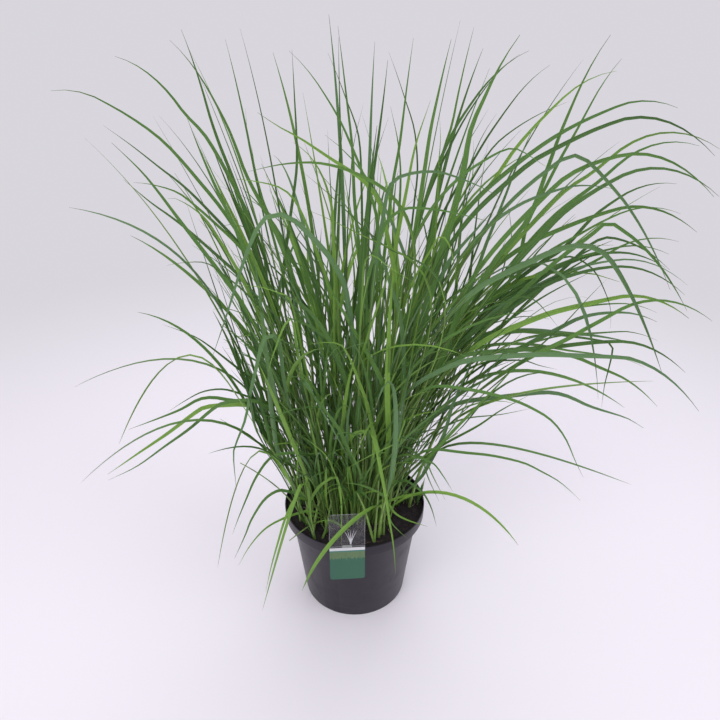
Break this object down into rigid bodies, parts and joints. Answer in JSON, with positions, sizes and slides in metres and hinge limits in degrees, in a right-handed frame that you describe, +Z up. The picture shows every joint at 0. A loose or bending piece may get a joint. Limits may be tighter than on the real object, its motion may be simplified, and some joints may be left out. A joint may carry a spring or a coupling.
{
  "type": "potted switchgrass",
  "caption": "Clump of narrow arching switchgrass leaves on green stems, growing from dark peat in a round moulded nursery pot with a clear hang label.",
  "frame": {"origin": "middle of the pot's underside, on the surface that the pot stands on", "axes": "+Z up along the pot's axis; -Y towards the front, where the label hangs; +X to the right seen from the front"},
  "size_m": [0.8046, 0.5905, 0.8401],
  "materials": {
    "pot_plastic": "satin",
    "peat": "matte, crumbly",
    "label_film": "clear gloss, printed below",
    "leaf": "satin, finely ribbed",
    "stem": "satin"
  },
  "bodies": {
    "root": {"pot": "pot_plastic", "soil": "peat", "label": "label_film", "stem_back": "stem", "stem_back_left": "stem", "stem_back_right": "stem", "stem_centre": "stem", "stem_front_left": "stem", "stem_front_right": "stem", "stem_inner_back": "stem", "stem_inner_left": "stem", "stem_inner_right": "stem", "stem_left": "stem", "stem_left_back": "stem", "stem_left_front": "stem", "stem_right": "stem", "stem_right_back": "stem", "leaf_back_left_low": "leaf", "leaf_back_left_mid": "leaf", "leaf_back_left_top": "leaf", "leaf_back_low": "leaf", "leaf_back_mid": "leaf", "leaf_back_right_low": "leaf", "leaf_back_right_mid": "leaf", "leaf_back_right_top": "leaf", "leaf_back_top": "leaf", "leaf_centre_low": "leaf", "leaf_centre_mid": "leaf", "leaf_centre_top": "leaf", "leaf_front_left_low": "leaf", "leaf_front_left_mid": "leaf", "leaf_front_left_top": "leaf", "leaf_front_right_low": "leaf", "leaf_front_right_mid": "leaf", "leaf_front_right_top": "leaf", "leaf_inner_back_low": "leaf", "leaf_inner_back_mid": "leaf", "leaf_inner_back_top": "leaf", "leaf_inner_left_low": "leaf", "leaf_inner_left_mid": "leaf", "leaf_inner_left_top": "leaf", "leaf_inner_right_low": "leaf", "leaf_inner_right_mid": "leaf", "leaf_inner_right_top": "leaf", "leaf_left_back_low": "leaf", "leaf_left_back_mid": "leaf", "leaf_left_back_top": "leaf", "leaf_left_front_low": "leaf", "leaf_left_front_mid": "leaf", "leaf_left_front_top": "leaf", "leaf_left_low": "leaf", "leaf_left_mid": "leaf", "leaf_left_top": "leaf", "leaf_right_back_low": "leaf", "leaf_right_back_mid": "leaf", "leaf_right_back_top": "leaf", "leaf_right_low": "leaf", "leaf_right_mid": "leaf", "leaf_right_top": "leaf"}
  },
  "joints": []
}
